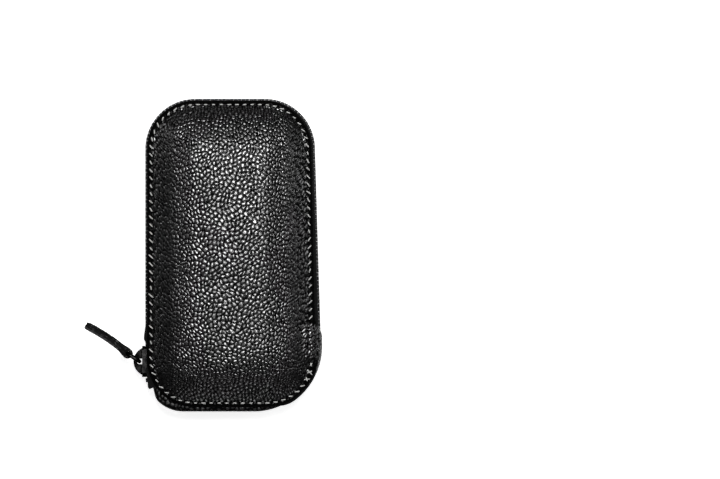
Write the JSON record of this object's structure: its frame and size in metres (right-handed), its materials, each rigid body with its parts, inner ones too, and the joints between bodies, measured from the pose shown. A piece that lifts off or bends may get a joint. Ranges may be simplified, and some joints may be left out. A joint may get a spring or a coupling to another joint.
{
  "type": "zip key case",
  "caption": "Padded black leather key case with a zip round its side, a leather zip pull, and a bar of gated key hooks inside; it opens like a shell on its lower edge.",
  "frame": {"origin": "middle of the flat on the back panel that the case rests on", "axes": "+X across the width to the right as seen from the front, +Y along the length away from the folding edge, +Z out of the front panel"},
  "size_m": [0.0914, 0.1203, 0.026],
  "materials": {
    "leather_outer": "pebbled, semi-gloss",
    "board": "fibre board",
    "lining_cloth": "matt woven lining",
    "zip_tape": "woven tape",
    "zip_teeth": "black plated",
    "slider_metal": "dark polished plating",
    "key_metal": "bright nickel"
  },
  "bodies": {
    "case_back": {"back_panel": "leather_outer", "back_stiffener": "board", "back_lining": "lining_cloth", "spine_back": "leather_outer", "back_zip_tape": "zip_tape", "back_zip_teeth": "zip_teeth", "back_zip_stops": "zip_teeth", "key_bar": "key_metal", "hook_rod": "key_metal", "bar_rivets": "key_metal"},
    "case_front": {"front_panel": "leather_outer", "front_stiffener": "board", "front_lining": "lining_cloth", "spine_front": "leather_outer", "front_zip_tape": "zip_tape", "front_zip_teeth": "zip_teeth", "front_zip_stops": "zip_teeth"},
    "zip_slider": {"slider_body": "slider_metal", "slider_bridge": "slider_metal"},
    "zip_pull_link": {"pull_link": "slider_metal"},
    "zip_pull_tab": {"pull_tab": "leather_outer"},
    "hook_1": {"key_hook_1": "key_metal"},
    "gate_1": {"hook_gate_1": "key_metal"},
    "hook_2": {"key_hook_2": "key_metal"},
    "gate_2": {"hook_gate_2": "key_metal"},
    "hook_3": {"key_hook_3": "key_metal"},
    "gate_3": {"hook_gate_3": "key_metal"},
    "hook_4": {"key_hook_4": "key_metal"},
    "gate_4": {"hook_gate_4": "key_metal"}
  },
  "joints": [
    {"name": "case_open", "type": "hinge", "parent": "case_back", "child": "case_front", "pos_m": [0, -0.0606, 0.013], "axis": [1, 0, 0], "range_deg": [0, 170]},
    {"name": "slider_travel", "type": "slide", "parent": "case_back", "child": "zip_slider", "axis": [0, 1, 0], "range_m": [0, 0.075], "deforming": ["front_zip_teeth", "back_zip_teeth"]},
    {"name": "pull_link_swing", "type": "hinge", "parent": "zip_slider", "child": "zip_pull_link", "pos_m": [-0.035, -0.0415, 0.013], "axis": [0, 0, 1], "range_deg": [-20, 88]},
    {"name": "pull_tab_swing", "type": "hinge", "parent": "zip_pull_link", "child": "zip_pull_tab", "pos_m": [-0.03956, -0.03842, 0.013], "axis": [0, 0, 1], "range_deg": [-30, 30]},
    {"name": "hook_1_swing", "type": "hinge", "parent": "case_back", "child": "hook_1", "pos_m": [-0.01222, 0.03469, 0.0055], "axis": [-1, 0, 0], "range_deg": [0, 35]},
    {"name": "gate_1_press", "type": "hinge", "parent": "hook_1", "child": "gate_1", "pos_m": [-0.00917, 0.02769, 0.0055], "axis": [0, 0, -1], "range_deg": [0, 20], "stiffness_Nm_per_rad": 0.01},
    {"name": "hook_2_swing", "type": "hinge", "parent": "case_back", "child": "hook_2", "pos_m": [-0.00407, 0.03469, 0.0055], "axis": [-1, 0, 0], "range_deg": [0, 35]},
    {"name": "gate_2_press", "type": "hinge", "parent": "hook_2", "child": "gate_2", "pos_m": [-0.00103, 0.02769, 0.0055], "axis": [0, 0, -1], "range_deg": [0, 20], "stiffness_Nm_per_rad": 0.01},
    {"name": "hook_3_swing", "type": "hinge", "parent": "case_back", "child": "hook_3", "pos_m": [0.00407, 0.03469, 0.0055], "axis": [-1, 0, 0], "range_deg": [0, 35]},
    {"name": "gate_3_press", "type": "hinge", "parent": "hook_3", "child": "gate_3", "pos_m": [0.00712, 0.02769, 0.0055], "axis": [0, 0, -1], "range_deg": [0, 20], "stiffness_Nm_per_rad": 0.01},
    {"name": "hook_4_swing", "type": "hinge", "parent": "case_back", "child": "hook_4", "pos_m": [0.01222, 0.03469, 0.0055], "axis": [-1, 0, 0], "range_deg": [0, 35]},
    {"name": "gate_4_press", "type": "hinge", "parent": "hook_4", "child": "gate_4", "pos_m": [0.01527, 0.02769, 0.0055], "axis": [0, 0, -1], "range_deg": [0, 20], "stiffness_Nm_per_rad": 0.01}
  ]
}
